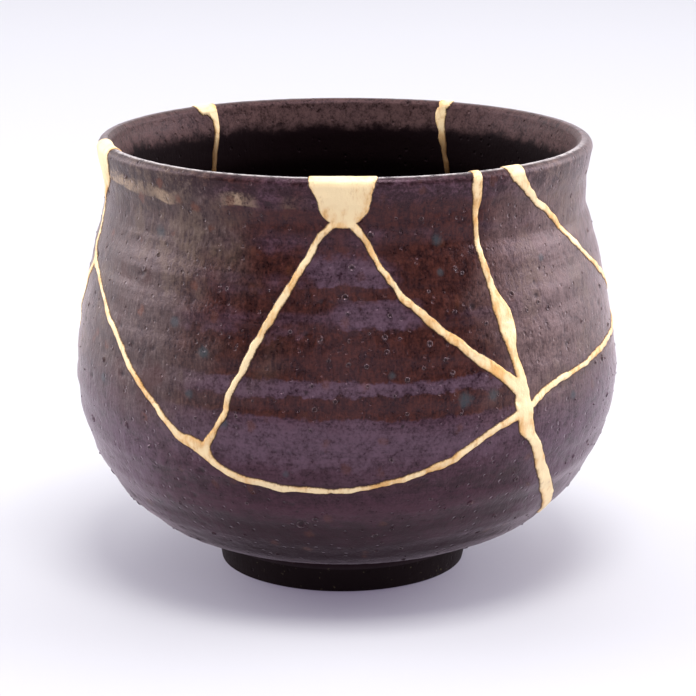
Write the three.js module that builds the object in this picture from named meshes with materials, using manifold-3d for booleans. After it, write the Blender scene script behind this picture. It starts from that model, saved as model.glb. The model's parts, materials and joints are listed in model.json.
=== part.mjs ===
import * as THREE from "three";
import { mergeVertices } from "three/addons/utils/BufferGeometryUtils.js";
import Module from "manifold-3d";

// A hand-thrown stoneware tea bowl that broke into nine shards and was mended with gold lacquer.
// Millimetres, +Z up. The origin is on the ground under the middle of the belly, and the front faces -Y.

// The thrown bowl, outside
const bowlHeight = 98;
const bellyRadius = 61;
const bellyHeight = 46;
const shoulderWidth = 11.6;
const flareWidth = 5.5;
const flareHeight = 15;

// The wall, measured square to its outer face
const lipThickness = 3.8;
const bellyThickness = 5.4;
const floorThickness = 6.4;

// The turned foot ring
const footRadius = 28;
const footHeight = 8.3;
const footRingWidth = 6.2;
const footEdge = 0.6;
const recessDepth = 6.2;

// The bowl leans a little, as it came off the wheel: sideways shifts of its centre
const footShift = -1.1;
const rimShift = -0.5;

// The mend: the joint left round the lacquer, and how far it stands proud of the clay
const jointGap = 0.3;
const lacquerProud = 0.3;

// How the curved faces are divided
const turns = 40;
const underbellySteps = 5;
const shoulderSteps = 4;
const flareSteps = 2;
const lipSteps = 4;
const smallestEdge = 0.12;

// Powers that shape the long curves of the outside
const underbellyPower = 1.08;
const shoulderPower = 1.54;
const flarePower = 1.4;

// Crack routes: degrees round from the front, to the right; height as a share of the bowl's; width in mm
const aboveRim = 1.03;
const cracks = {
  leftRim: [
    [-78.6, 0.884, 3.4], [-79.3, 0.862, 1.8], [-78.6, 0.825, 1.6], [-78.2, 0.78, 1.7], [-76.2, 0.742, 2.6],
  ],
  leftArc: [
    [-76.2, 0.742, 2.2], [-71, 0.72, 1.5], [-66.6, 0.696, 1.5], [-61.3, 0.654, 1.6], [-56.8, 0.623, 1.7],
    [-49.8, 0.554, 1.6], [-45.2, 0.522, 1.5], [-38.8, 0.466, 1.6], [-35.2, 0.434, 2.3], [-29.4, 0.412, 2.9],
    [-28.2, 0.392, 1.9], [-25.4, 0.374, 1.7], [-21.9, 0.359, 1.8], [-14.5, 0.344, 1.9],
    [-6, 0.338, 1.7], [0.9, 0.342, 1.5], [6.5, 0.351, 1.4], [14.1, 0.371, 1.5], [21.8, 0.402, 1.8],
    [24.4, 0.423, 1.5], [30.9, 0.461, 1.6], [37.5, 0.486, 1.6],
  ],
  rightArc: [
    [37.5, 0.486, 1.6], [43.5, 0.517, 1.8], [47.8, 0.532, 1.5], [53.3, 0.541, 1.4], [66.8, 0.561, 1.5],
    [76, 0.572, 1.5], [88, 0.585, 1.5], [97, 0.61, 2.2],
  ],
  fillToArc: [
    [-2.6, 0.9, 1.6], [-5.7, 0.872, 1.4], [-9.9, 0.801, 1.5], [-12.8, 0.751, 1.7], [-16.1, 0.697, 1.7],
    [-20.3, 0.606, 1.7], [-23.6, 0.542, 1.5], [-24.3, 0.505, 1.3], [-26.3, 0.47, 1.3], [-28.9, 0.41, 1.4],
  ],
  fillToKnot: [
    [1.6, 0.9, 1.8], [4.7, 0.861, 1.4], [6.2, 0.827, 1.3], [10, 0.777, 1.4], [12.2, 0.745, 1.6],
    [17.5, 0.695, 1.8], [24.1, 0.638, 2.2], [30.6, 0.586, 2.5], [34.1, 0.559, 3], [37.1, 0.525, 3.3],
  ],
  rimToKnot: [
    [30.2, aboveRim, 2.1], [29.9, 0.972, 2.4], [30.1, 0.946, 2.5], [29.9, 0.9, 1.3], [30.8, 0.822, 1.4],
    [32.2, 0.751, 2], [34.2, 0.697, 4], [34.9, 0.664, 4.8], [35.3, 0.626, 2.7],
    [36.1, 0.6, 2.1], [37, 0.554, 2.6], [37.3, 0.51, 4.4], [37.8, 0.472, 4.6],
  ],
  knotToFoot: [
    [37.8, 0.472, 4.6], [38.4, 0.447, 4.1], [40.4, 0.423, 2.6], [42.7, 0.38, 3], [45.4, 0.336, 3.2],
    [49.7, 0.287, 3.5], [54.9, 0.238, 3.7], [62, 0.184, 3], [74, 0.148, 2.1], [90, 0.134, 1.7],
    [103, 0.146, 1.7], [113, 0.19, 1.6], [120, 0.28, 1.6], [123, 0.39, 1.7], [117, 0.575, 2],
  ],
  rightRim: [
    [40.3, aboveRim, 6], [40.5, 0.992, 5.2], [41.8, 0.972, 3.2], [44, 0.947, 1.9], [47.3, 0.921, 1.6],
    [52.6, 0.888, 1.6], [62.7, 0.809, 1.6], [68.6, 0.769, 1.7], [75.2, 0.723, 1.7],
    [84, 0.68, 1.6], [97, 0.61, 2.2],
  ],
  backArc: [
    [97, 0.61, 2.2], [107, 0.585, 1.7], [117, 0.575, 2], [129, 0.53, 1.6], [140, 0.49, 1.7],
    [150, 0.474, 2.3], [163, 0.442, 1.6], [178, 0.457, 1.5], [195, 0.432, 1.7], [208, 0.45, 1.6],
    [222, 0.442, 2.4], [238, 0.425, 1.6], [254, 0.447, 1.5], [265, 0.505, 1.6],
    [271, 0.58, 1.5], [277, 0.66, 1.5], [283.8, 0.742, 2.2],
  ],
  backLeftRim: [
    [219.5, aboveRim, 7.6], [219.1, 0.995, 6.2], [218.2, 0.976, 3.4], [217.2, 0.956, 1.6], [218.7, 0.88, 1.3],
    [221.5, 0.75, 1.4], [219, 0.65, 1.4], [223, 0.55, 1.6], [222, 0.442, 2.4],
  ],
  backRightRim: [
    [152.2, aboveRim, 4.2], [152.4, 0.994, 3.6], [152.9, 0.983, 1.9], [153.4, 0.962, 3.3], [152.8, 0.939, 2.2],
    [151.3, 0.87, 1.2], [149, 0.735, 1.4], [152, 0.633, 1.5], [148, 0.541, 1.6],
    [150, 0.474, 2.3],
  ],
};

// Chips lost from the rim and built up again in solid gold, as routes down the middle of each fill
const fills = {
  front_rim_fill: [
    [-0.35, aboveRim, 13.4], [-0.35, 0.98, 13], [-0.3, 0.952, 11.6], [-0.3, 0.927, 10], [-0.5, 0.905, 7],
    [-0.5, 0.891, 4.4],
  ],
  left_rim_fill: [
    [-74, aboveRim, 17.4], [-74, 0.965, 16.4], [-75, 0.937, 13.4], [-76.5, 0.913, 8.6], [-77.8, 0.893, 5],
    [-78.6, 0.88, 3],
  ],
};

// Each shard, with a place in the middle of its face: degrees round, and share of the bowl's height
const shards = {
  base_shard: [0, 0.22],
  front_belly_shard: [0, 0.6],
  front_left_rim_shard: [-40, 0.8],
  front_right_rim_shard: [20, 0.85],
  right_rim_shard: [55, 0.7],
  back_right_rim_shard: [120, 0.8],
  back_rim_shard: [185, 0.75],
  back_left_rim_shard: [250, 0.75],
  lower_right_shard: [75, 0.35],
};

const lipRadius = lipThickness / 2;
const lipCentreHeight = bowlHeight - lipRadius;
const neckHeight = bowlHeight - flareHeight;
const rimRadius = bellyRadius - shoulderWidth + flareWidth;
const footTopRadius = footRadius + footEdge;
const rad = THREE.MathUtils.degToRad;

// Outside radius at a height, from the top of the foot to the rim, and straight up above it.
function outerRadius(z) {
  if (z < bellyHeight) {
    const below = Math.min((bellyHeight - z) / (bellyHeight - footHeight), 1);
    const fall = Math.sqrt(1 - below ** (2 / underbellyPower));
    return THREE.MathUtils.lerp(footTopRadius, bellyRadius, fall);
  }
  const height = Math.min(z, lipCentreHeight);
  const above = (height - bellyHeight) / (lipCentreHeight - bellyHeight);
  const flare = Math.max(height - neckHeight, 0) / (lipCentreHeight - neckHeight);
  return bellyRadius - shoulderWidth * above ** shoulderPower + flareWidth * flare ** flarePower;
}

// Unit normal of the outside, as radius and height.
function outerNormal(z) {
  const step = 0.2;
  const low = Math.max(z - step, footHeight);
  const high = Math.max(z + step, footHeight + step);
  return new THREE.Vector2(high - low, outerRadius(low) - outerRadius(high)).normalize();
}

// Wall thickness at a height: thick under the belly, thin at the lip.
function thicknessAt(z) {
  if (z < bellyHeight) {
    const share = THREE.MathUtils.smoothstep(z, footHeight, bellyHeight);
    return THREE.MathUtils.lerp(floorThickness, bellyThickness, share);
  }
  const share = Math.min((z - bellyHeight) / (lipCentreHeight - bellyHeight), 1);
  return THREE.MathUtils.lerp(bellyThickness, lipThickness, share);
}

// Heights at which the outside is drawn, from the foot to the lip.
function wallHeights() {
  const heights = [];
  for (let i = 0; i < underbellySteps; i++) {
    const turn = (Math.PI / 2) * (1 - i / underbellySteps);
    heights.push(bellyHeight - (bellyHeight - footHeight) * Math.sin(turn) ** underbellyPower);
  }
  for (let i = 0; i < shoulderSteps; i++) {
    heights.push(THREE.MathUtils.lerp(bellyHeight, neckHeight, i / shoulderSteps));
  }
  for (let i = 0; i <= flareSteps; i++) {
    heights.push(THREE.MathUtils.lerp(neckHeight, lipCentreHeight, i / flareSteps));
  }
  return heights;
}

// The bowl's section, from the middle of the foot's recess round to the middle of the floor inside.
function bowlSection(proud) {
  const heights = wallHeights();
  const outside = [];
  const inside = [];
  for (const [i, z] of heights.entries()) {
    const face = new THREE.Vector2(outerRadius(z), z);
    const top = i === heights.length - 1;
    const normal = top ? new THREE.Vector2(1, 0) : i ? outerNormal(z) : new THREE.Vector2(0, -1);
    outside.push(face.clone().addScaledVector(normal, i ? proud : 0));
    inside.push(face.clone().addScaledVector(normal, -thicknessAt(z) - proud));
  }
  const lipCentre = new THREE.Vector2(rimRadius - lipRadius, lipCentreHeight);
  const lip = [];
  for (let i = 1; i < lipSteps; i++) {
    const turn = (Math.PI * i) / lipSteps;
    const reach = new THREE.Vector2(Math.cos(turn), Math.sin(turn)).multiplyScalar(lipRadius + proud);
    lip.push(reach.add(lipCentre));
  }
  const foot = [
    new THREE.Vector2(0, recessDepth),
    new THREE.Vector2(footRadius - footRingWidth - footEdge, recessDepth),
    new THREE.Vector2(footRadius - footRingWidth, 0),
    new THREE.Vector2(footRadius - footEdge, 0),
    new THREE.Vector2(footRadius, footEdge),
  ];
  const floorMiddle = new THREE.Vector2(0, footHeight + floorThickness + proud);
  return [...foot, ...outside, ...lip, ...inside.reverse(), floorMiddle];
}

// Sideways shift of the bowl's centre at a height, none at the belly.
function leanAt(z) {
  const down = Math.max(bellyHeight - z, 0) / bellyHeight;
  const up = Math.max(z - bellyHeight, 0) / (bowlHeight - bellyHeight);
  return footShift * down + rimShift * up;
}

const wasm = await Module();
wasm.setup();

// A closed three.js geometry as a solid that can be cut and joined.
function solidFrom(geometry) {
  const bare = geometry.clone();
  bare.deleteAttribute("normal");
  bare.deleteAttribute("uv");
  const merged = mergeVertices(bare, 1e-4);
  const shell = new wasm.Mesh({
    numProp: 3,
    vertProperties: merged.attributes.position.array,
    triVerts: new Uint32Array(merged.index.array),
  });
  return new wasm.Manifold(shell);
}

// A solid as a three.js geometry with flat faces.
function geometryFrom(solid) {
  const mesh = solid.simplify(smallestEdge).getMesh();
  const geometry = new THREE.BufferGeometry();
  geometry.setAttribute("position", new THREE.BufferAttribute(mesh.vertProperties, 3));
  geometry.setIndex(new THREE.BufferAttribute(mesh.triVerts, 1));
  const flat = geometry.toNonIndexed();
  flat.computeVertexNormals();
  return flat;
}

// The thrown bowl before it broke, with its wall faces moved out by proud.
function thrownBowl(proud) {
  const lathe = new THREE.LatheGeometry(bowlSection(proud), turns);
  lathe.rotateX(Math.PI / 2);
  const position = lathe.attributes.position;
  for (let i = 0; i < position.count; i++) {
    position.setX(i, position.getX(i) + leanAt(position.getZ(i)));
  }
  return solidFrom(lathe);
}

// A place on the outside: its point, the way out, and the two ways along the face.
function placeOnWall(degrees, height) {
  const z = Math.max(height * bowlHeight, footHeight);
  const turn = rad(degrees);
  const way = new THREE.Vector3(Math.sin(turn), -Math.cos(turn), 0);
  const slope = z < lipCentreHeight ? outerNormal(z) : new THREE.Vector2(1, 0);
  const point = way.clone().multiplyScalar(outerRadius(z));
  point.x += leanAt(z);
  point.z = z;
  const out = way.clone().multiplyScalar(slope.x);
  out.z = slope.y;
  return { point, out, thickness: thicknessAt(z) };
}

// One cross-section of a crack: its two edges outside the wall and its two edges inside it.
// The two ends of a route reach past it by the gap.
function crackRung(route, i, gap) {
  const [degrees, height, width] = route[i];
  const here = placeOnWall(degrees, height);
  const before = placeOnWall(...route[Math.max(i - 1, 0)]).point;
  const after = placeOnWall(...route[Math.min(i + 1, route.length - 1)]).point;
  const along = after.sub(before).normalize();
  const side = new THREE.Vector3().crossVectors(here.out, along).normalize();
  const past = i === 0 ? -gap : i === route.length - 1 ? gap : 0;
  const middle = here.point.clone().addScaledVector(along, past);
  const half = width / 2 + gap;
  const reach = lipRadius + lacquerProud;
  const rung = [];
  for (const [sideways, outwards] of [[-half, reach], [half, reach], [half, -1], [-half, -1]]) {
    const depth = outwards > 0 ? outwards : -(here.thickness + reach);
    rung.push(middle.clone().addScaledVector(side, sideways).addScaledVector(here.out, depth));
  }
  return rung;
}

// The slab between two rungs, square to the wall.
function slabBetween(first, second) {
  const corners = [...first, ...second];
  const faces = [
    [0, 1, 2], [0, 2, 3], [4, 6, 5], [4, 7, 6], [0, 5, 1], [0, 4, 5],
    [1, 6, 2], [1, 5, 6], [2, 7, 3], [2, 6, 7], [3, 4, 0], [3, 7, 4],
  ];
  const points = faces.flat().map((index) => corners[index]);
  const geometry = new THREE.BufferGeometry().setFromPoints(points);
  const solid = solidFrom(geometry);
  if (solid.volume() > 0) {
    return solid;
  }
  const turned = faces.map(([a, b, c]) => [a, c, b]);
  return solidFrom(new THREE.BufferGeometry().setFromPoints(turned.flat().map((index) => corners[index])));
}

// All the slabs of one route, joined.
function slabsAlong(route, gap) {
  const rungs = route.map((_, i) => crackRung(route, i, gap));
  const slabs = rungs.slice(1).map((rung, i) => slabBetween(rungs[i], rung));
  return slabs.reduce((joined, slab) => joined.add(slab));
}

// Several routes, joined.
function network(routes, gap) {
  return Object.values(routes)
    .map((route) => slabsAlong(route, gap))
    .reduce((joined, part) => joined.add(part));
}

// The broken pieces of a solid, largest first.
function piecesOf(solid) {
  return solid.decompose().sort((a, b) => b.volume() - a.volume());
}

// The piece that holds the middle of the wall at a place.
function pieceAt(pieces, [degrees, height]) {
  const { point, out, thickness } = placeOnWall(degrees, height);
  const probe = new THREE.BoxGeometry(1, 1, 1);
  probe.translate(...point.addScaledVector(out, -thickness / 2).toArray());
  const marker = solidFrom(probe);
  return pieces.find((piece) => piece.intersect(marker).volume() > 0);
}

function finish(name, solid, material) {
  const mesh = new THREE.Mesh(geometryFrom(solid), material);
  mesh.name = name;
  return mesh;
}

const stoneware = new THREE.MeshStandardMaterial({ color: 0x46343a, roughness: 0.42, metalness: 0 });
const gold = new THREE.MeshStandardMaterial({ color: 0xe8bf7a, roughness: 0.35, metalness: 0.9 });

const whole = thrownBowl(0);
const gilded = thrownBowl(lacquerProud);
const shardPieces = piecesOf(whole.subtract(network({ ...cracks, ...fills }, jointGap)));

const bowl = new THREE.Group();
for (const [name, place] of Object.entries(shards)) {
  bowl.add(finish(name, pieceAt(shardPieces, place), stoneware));
}
for (const [name, route] of Object.entries(fills)) {
  bowl.add(finish(name, piecesOf(gilded.intersect(slabsAlong(route, 0)))[0], gold));
}
const seams = gilded.intersect(network(cracks, 0)).subtract(network(fills, jointGap));
bowl.add(finish("gold_seams", piecesOf(seams)[0], gold));

export default bowl;
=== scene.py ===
# Kintsugi tea bowl: dark stoneware glaze, nine shards and gold lacquer, on a pale sweep.
import json
import math
import random
from functools import partial

import bmesh
import bpy
import numpy as np
from mathutils import Matrix, Vector, noise
from mathutils.bvhtree import BVHTree
from mathutils.kdtree import KDTree

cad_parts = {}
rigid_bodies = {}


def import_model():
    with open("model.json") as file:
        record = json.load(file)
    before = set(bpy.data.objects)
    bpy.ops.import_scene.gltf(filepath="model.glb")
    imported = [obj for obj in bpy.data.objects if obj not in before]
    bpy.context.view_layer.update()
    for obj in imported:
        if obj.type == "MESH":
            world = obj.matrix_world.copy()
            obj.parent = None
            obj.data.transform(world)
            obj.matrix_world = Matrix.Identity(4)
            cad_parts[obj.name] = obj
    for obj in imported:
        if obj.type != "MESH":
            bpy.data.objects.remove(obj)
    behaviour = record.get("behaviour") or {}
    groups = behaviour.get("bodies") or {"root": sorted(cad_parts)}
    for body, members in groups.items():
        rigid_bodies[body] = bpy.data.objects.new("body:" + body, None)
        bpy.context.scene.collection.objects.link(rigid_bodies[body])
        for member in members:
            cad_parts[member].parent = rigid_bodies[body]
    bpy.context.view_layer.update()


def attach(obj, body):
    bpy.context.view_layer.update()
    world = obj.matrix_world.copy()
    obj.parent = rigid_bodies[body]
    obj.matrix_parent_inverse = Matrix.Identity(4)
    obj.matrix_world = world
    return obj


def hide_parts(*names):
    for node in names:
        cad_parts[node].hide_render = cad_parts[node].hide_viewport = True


for thing in list(bpy.data.objects):
    bpy.data.objects.remove(thing)
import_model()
mm = 0.001

# The thrown shape, in mm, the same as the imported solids; skin keeps the rough surface inside them
bowl = {
    "height": 98.0, "bellyRadius": 61.0, "bellyHeight": 46.0,
    "shoulderWidth": 11.6, "flareWidth": 5.5, "flareHeight": 15.0,
    "lip": 3.8, "bellyWall": 5.4, "floorWall": 6.4,
    "footRadius": 28.0, "footHeight": 8.3, "footRing": 6.2, "footEdge": 0.6, "recess": 6.2,
    "footShift": -1.1, "rimShift": -0.5,
    "underbellyPower": 1.08, "shoulderPower": 1.54, "flarePower": 1.4,
    "skin": 0.2, "turns": 500, "underbellyRows": 60, "shoulderRows": 90, "lipRows": 12,
    "footStep": 1.3, "outsideStep": 0.55, "lipStep": 0.42, "insideStep": 1.6,
}
relief = {  # what the potter's hands left, in mm, and the share of it that shows off the outside
    "ringSpacing": 8.0, "ringDepth": 0.38, "wobble": 0.22, "peel": 0.105, "grain": 0.02, "seed": 7,
    "insideShare": 0.55, "lipShare": 0.5, "floorShare": 0.4, "rowsToFull": 8,
}

lipRadius = bowl["lip"] / 2
lipHeight = bowl["height"] - lipRadius
rimRadius = bowl["bellyRadius"] - bowl["shoulderWidth"] + bowl["flareWidth"]
neckHeight = bowl["height"] - bowl["flareHeight"]
footTop = bowl["footRadius"] + bowl["footEdge"]


def outerRadius(z):
    if z < bowl["bellyHeight"]:
        below = min((bowl["bellyHeight"] - z) / (bowl["bellyHeight"] - bowl["footHeight"]), 1)
        share = math.sqrt(1 - below ** (2 / bowl["underbellyPower"]))
        return footTop + (bowl["bellyRadius"] - footTop) * share
    z = min(z, lipHeight)
    above = (z - bowl["bellyHeight"]) / (lipHeight - bowl["bellyHeight"])
    flare = max(z - neckHeight, 0) / (lipHeight - neckHeight)
    return bowl["bellyRadius"] - bowl["shoulderWidth"] * above ** bowl["shoulderPower"] \
        + bowl["flareWidth"] * flare ** bowl["flarePower"]


def outerNormal(z):
    # radius and height of the way out, from the slope over a short reach up and down
    reach = 0.2
    low = max(z - reach, bowl["footHeight"])
    high = max(z + reach, bowl["footHeight"] + reach)
    run, rise = high - low, outerRadius(low) - outerRadius(high)
    size = math.hypot(run, rise)
    return run / size, rise / size


def wallAt(z):
    if z < bowl["bellyHeight"]:
        share = min(max((z - bowl["footHeight"]) / (bowl["bellyHeight"] - bowl["footHeight"]), 0), 1)
        share = share * share * (3 - 2 * share)
        return bowl["floorWall"] + (bowl["bellyWall"] - bowl["floorWall"]) * share
    share = min((z - bowl["bellyHeight"]) / (lipHeight - bowl["bellyHeight"]), 1)
    return bowl["bellyWall"] + (bowl["lip"] - bowl["bellyWall"]) * share


def leanAt(z):
    down = max(bowl["bellyHeight"] - z, 0) / bowl["bellyHeight"]
    up = max(z - bowl["bellyHeight"], 0) / (bowl["height"] - bowl["bellyHeight"])
    return bowl["footShift"] * down + bowl["rimShift"] * up


def onWall(degrees, share):
    # a place on the outside, the way out of it and the wall's thickness there, in mm
    z = max(share * bowl["height"], bowl["footHeight"])
    turn = math.radians(degrees)
    around, up = outerNormal(z) if z < lipHeight else (1, 0)
    way = Vector((math.sin(turn), -math.cos(turn), 0))
    point = way * outerRadius(z) + Vector((leanAt(z), 0, z))
    return point, way * around + Vector((0, 0, up)), wallAt(z)


def lengthAlong(points):
    return np.concatenate([[0], np.cumsum(np.linalg.norm(np.diff(points, axis=0), axis=1))])


def resample(points, steps):
    # points evenly along a polyline, with the other columns carried along
    points = np.array(points, float)
    gone = lengthAlong(points[:, :2])
    where = np.linspace(0, gone[-1], max(int(round(gone[-1] / steps)), 1) + 1)
    return np.stack([np.interp(where, gone, points[:, k]) for k in range(points.shape[1])], 1)


def bowlProfile():
    # radius, height, share of the relief and how far inside, from under the foot over the lip to the floor
    skin, rows = bowl["skin"], bowl["underbellyRows"]
    belly, lowest = bowl["bellyHeight"], bowl["footHeight"]
    heights = [belly - (belly - lowest) * math.sin(math.pi / 2 * (1 - i / rows)) ** bowl["underbellyPower"]
               for i in range(rows)]
    heights += list(np.linspace(belly, lipHeight, bowl["shoulderRows"]))
    outside, inside = [], []
    for i, z in enumerate(heights):
        radius, deep = outerRadius(z), wallAt(z) - skin
        around, up = (1, 0) if i == len(heights) - 1 else outerNormal(z) if i else (0, -1)
        shown = min(i / relief["rowsToFull"], 1)
        outside.append((radius - around * skin * (i > 0), z - up * skin * (i > 0), shown, 0))
        inside.append((radius - around * deep, z - up * deep, relief["insideShare"], 1))
    lip = []
    for t in range(1, bowl["lipRows"]):
        turn = math.pi * t / bowl["lipRows"]
        lip.append((rimRadius - lipRadius + math.cos(turn) * (lipRadius - skin),
                    lipHeight + math.sin(turn) * (lipRadius - skin), relief["lipShare"], t / bowl["lipRows"]))
    ring, edge = bowl["footRadius"] - bowl["footRing"], bowl["footEdge"]
    foot = [(0, bowl["recess"], 0.2, 0), (ring - edge - 1.5, bowl["recess"], 0.2, 0),
            (ring - edge, bowl["recess"] - 0.5, 0.2, 0), (ring, 0.5, 0.1, 0), (ring + 0.5, 0, 0, 0),
            (bowl["footRadius"] - edge - 0.2, 0, 0, 0), (bowl["footRadius"] - 0.25, 0.5, 0.1, 0),
            (bowl["footRadius"] - 0.1, edge + 0.5, 0.25, 0)]
    floor = [(0, bowl["footHeight"] + bowl["floorWall"], relief["floorShare"], 1)]
    below = resample(foot + outside[:1], bowl["footStep"])
    up = resample(outside, bowl["outsideStep"])
    over = resample([outside[-1]] + lip + [inside[-1]], bowl["lipStep"])
    down = resample(inside[::-1] + floor, bowl["insideStep"])
    return np.concatenate([below[:-1], up[:-1], over[:-1], down])


# Geometry node helpers

def newTree(name, inputs):
    tree = bpy.data.node_groups.new(name, "GeometryNodeTree")
    tree.interface.new_socket("Geometry", in_out="INPUT", socket_type="NodeSocketGeometry")
    for label, kind, value in inputs:
        socket = tree.interface.new_socket(label, in_out="INPUT", socket_type="NodeSocket" + kind)
        if value is not None:
            socket.default_value = value
    tree.interface.new_socket("Geometry", in_out="OUTPUT", socket_type="NodeSocketGeometry")
    return tree, tree.nodes.new("NodeGroupInput"), tree.nodes.new("NodeGroupOutput")


def add(tree, kind, links=(), **settings):
    # a node with its settings, and each named or numbered input joined to a socket or set to a value
    node = tree.nodes.new(kind)
    for key, value in settings.items():
        setattr(node, key, value)
    for key, value in dict(links).items():
        if isinstance(value, bpy.types.NodeSocket):
            tree.links.new(value, node.inputs[key])
        else:
            node.inputs[key].default_value = value
    return node


def mathNode(tree, operation, *values):
    return add(tree, "ShaderNodeMath", dict(enumerate(values)), operation=operation).outputs[0]


def vectorMath(tree, operation, *values):
    return add(tree, "ShaderNodeVectorMath", dict(enumerate(values)), operation=operation).outputs[0]


def storedFloat(tree, label):
    return add(tree, "GeometryNodeInputNamedAttribute", {"Name": label}, data_type="FLOAT").outputs[0]


def storeFloat(tree, geometry, label, value):
    return add(tree, "GeometryNodeStoreNamedAttribute", {"Geometry": geometry, "Name": label, "Value": value},
               data_type="FLOAT", domain="POINT").outputs[0]


def setInputs(modifier, values):
    for item in modifier.node_group.interface.items_tree:
        if item.item_type == "SOCKET" and item.in_out == "INPUT" and item.name in values:
            modifier[item.identifier] = values[item.name]


def bake(thing, name):
    # the evaluated object as a plain mesh
    graph = bpy.context.evaluated_depsgraph_get()
    mesh = bpy.data.meshes.new_from_object(thing.evaluated_get(graph))
    mesh.name = name
    thing.modifiers.clear()
    old = thing.data
    thing.data = mesh
    if old.users == 0 and isinstance(old, bpy.types.Mesh):
        bpy.data.meshes.remove(old)
    return thing


def addObject(name, mesh):
    thing = bpy.data.objects.new(name, mesh)
    bpy.context.scene.collection.objects.link(thing)
    return thing


def meshFrom(name, verts, edges=(), faces=()):
    mesh = bpy.data.meshes.new(name)
    mesh.from_pydata([tuple(v) for v in verts], edges, faces)
    mesh.update()
    return mesh
def meshFloats(mesh, label):
    values = np.empty(len(mesh.vertices))
    mesh.attributes[label].data.foreach_get("value", values)
    return values


def keepFloats(mesh, label, values):
    mesh.attributes.new(label, "FLOAT", "POINT").data.foreach_set("value", values)


def faceOutward(solid):
    if solid.calc_volume(signed=True) < 0:
        bmesh.ops.reverse_faces(solid, faces=solid.faces)

# The thrown bowl: its section is turned round the axis, ringed, dented and leaned

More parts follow.
